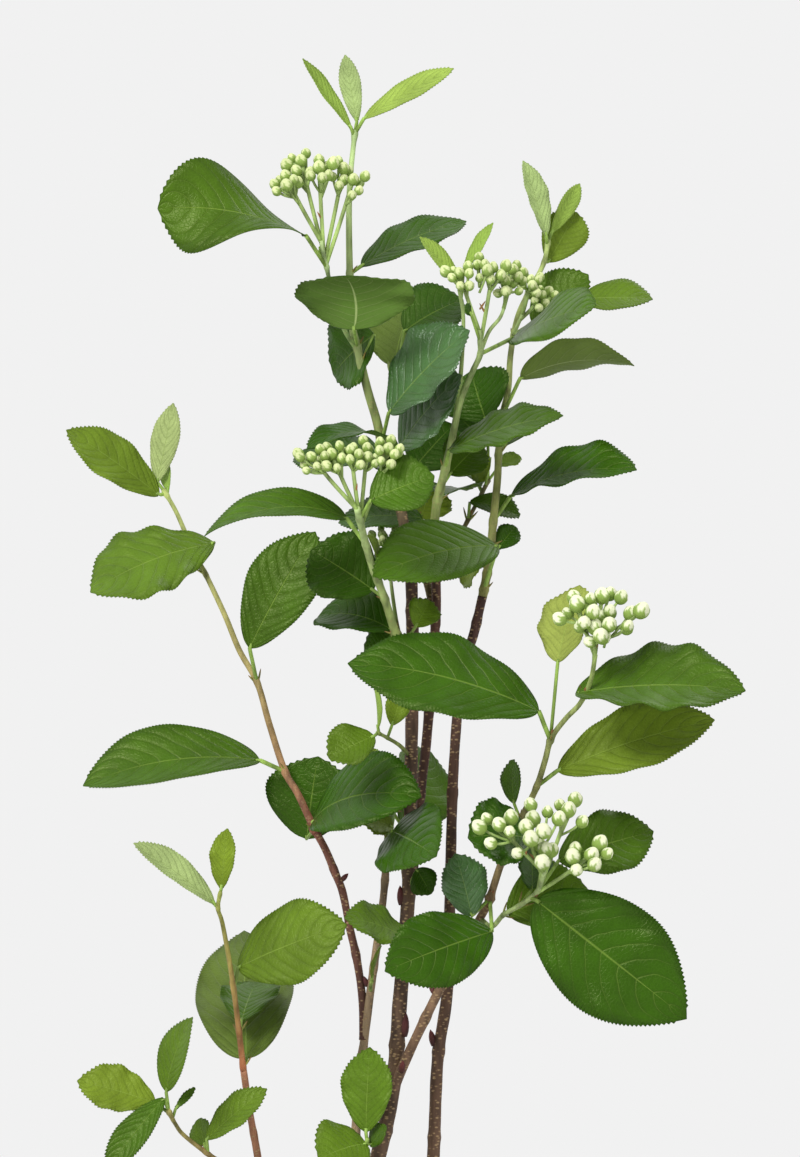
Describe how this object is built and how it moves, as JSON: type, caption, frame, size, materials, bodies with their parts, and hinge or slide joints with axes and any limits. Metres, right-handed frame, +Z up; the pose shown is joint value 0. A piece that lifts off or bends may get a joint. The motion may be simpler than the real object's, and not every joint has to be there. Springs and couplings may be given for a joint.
{
  "type": "potted black chokeberry shrub",
  "caption": "Young black chokeberry shrub in a plain nursery pot: slender stems from a flat cut at the compost, tapering boughs, leafy shoots with oval leaves and clusters of green flower buds",
  "frame": {"origin": "centre of the pot's flat underside, on the ground", "axes": "+Z up along the plant; +X to the right and -Y towards the viewer of the picture"},
  "size_m": [0.2526, 0.225, 0.8055],
  "materials": {
    "pot": "moulded, fine satin",
    "compost": "loose, dry on top",
    "bark": "smooth young bark with small raised pores",
    "foliage": "satin leaves"
  },
  "bodies": {
    "root": {"pot": "pot", "compost": "compost", "stem_main": "bark", "stem_right": "bark", "stem_left": "bark", "stem_low": "bark", "bough_middle": "bark", "bough_right": "bark", "bough_left": "bark", "bough_top": "bark", "bough_back": "bark", "foliage_top": "foliage", "foliage_back": "foliage", "foliage_middle": "foliage", "foliage_right": "foliage", "foliage_behind": "foliage", "foliage_left": "foliage", "foliage_front": "foliage", "foliage_front_side": "foliage", "foliage_outer": "foliage", "foliage_outer_low": "foliage", "foliage_inner": "foliage", "foliage_twig": "foliage", "foliage_low": "foliage", "foliage_lowest": "foliage", "foliage_centre_low": "foliage", "foliage_spur_upper": "foliage", "foliage_spur_lower": "foliage", "foliage_spur_left": "foliage", "foliage_base_left": "foliage", "foliage_base_right": "foliage", "foliage_base_front": "foliage", "foliage_base_back": "foliage"}
  },
  "joints": []
}
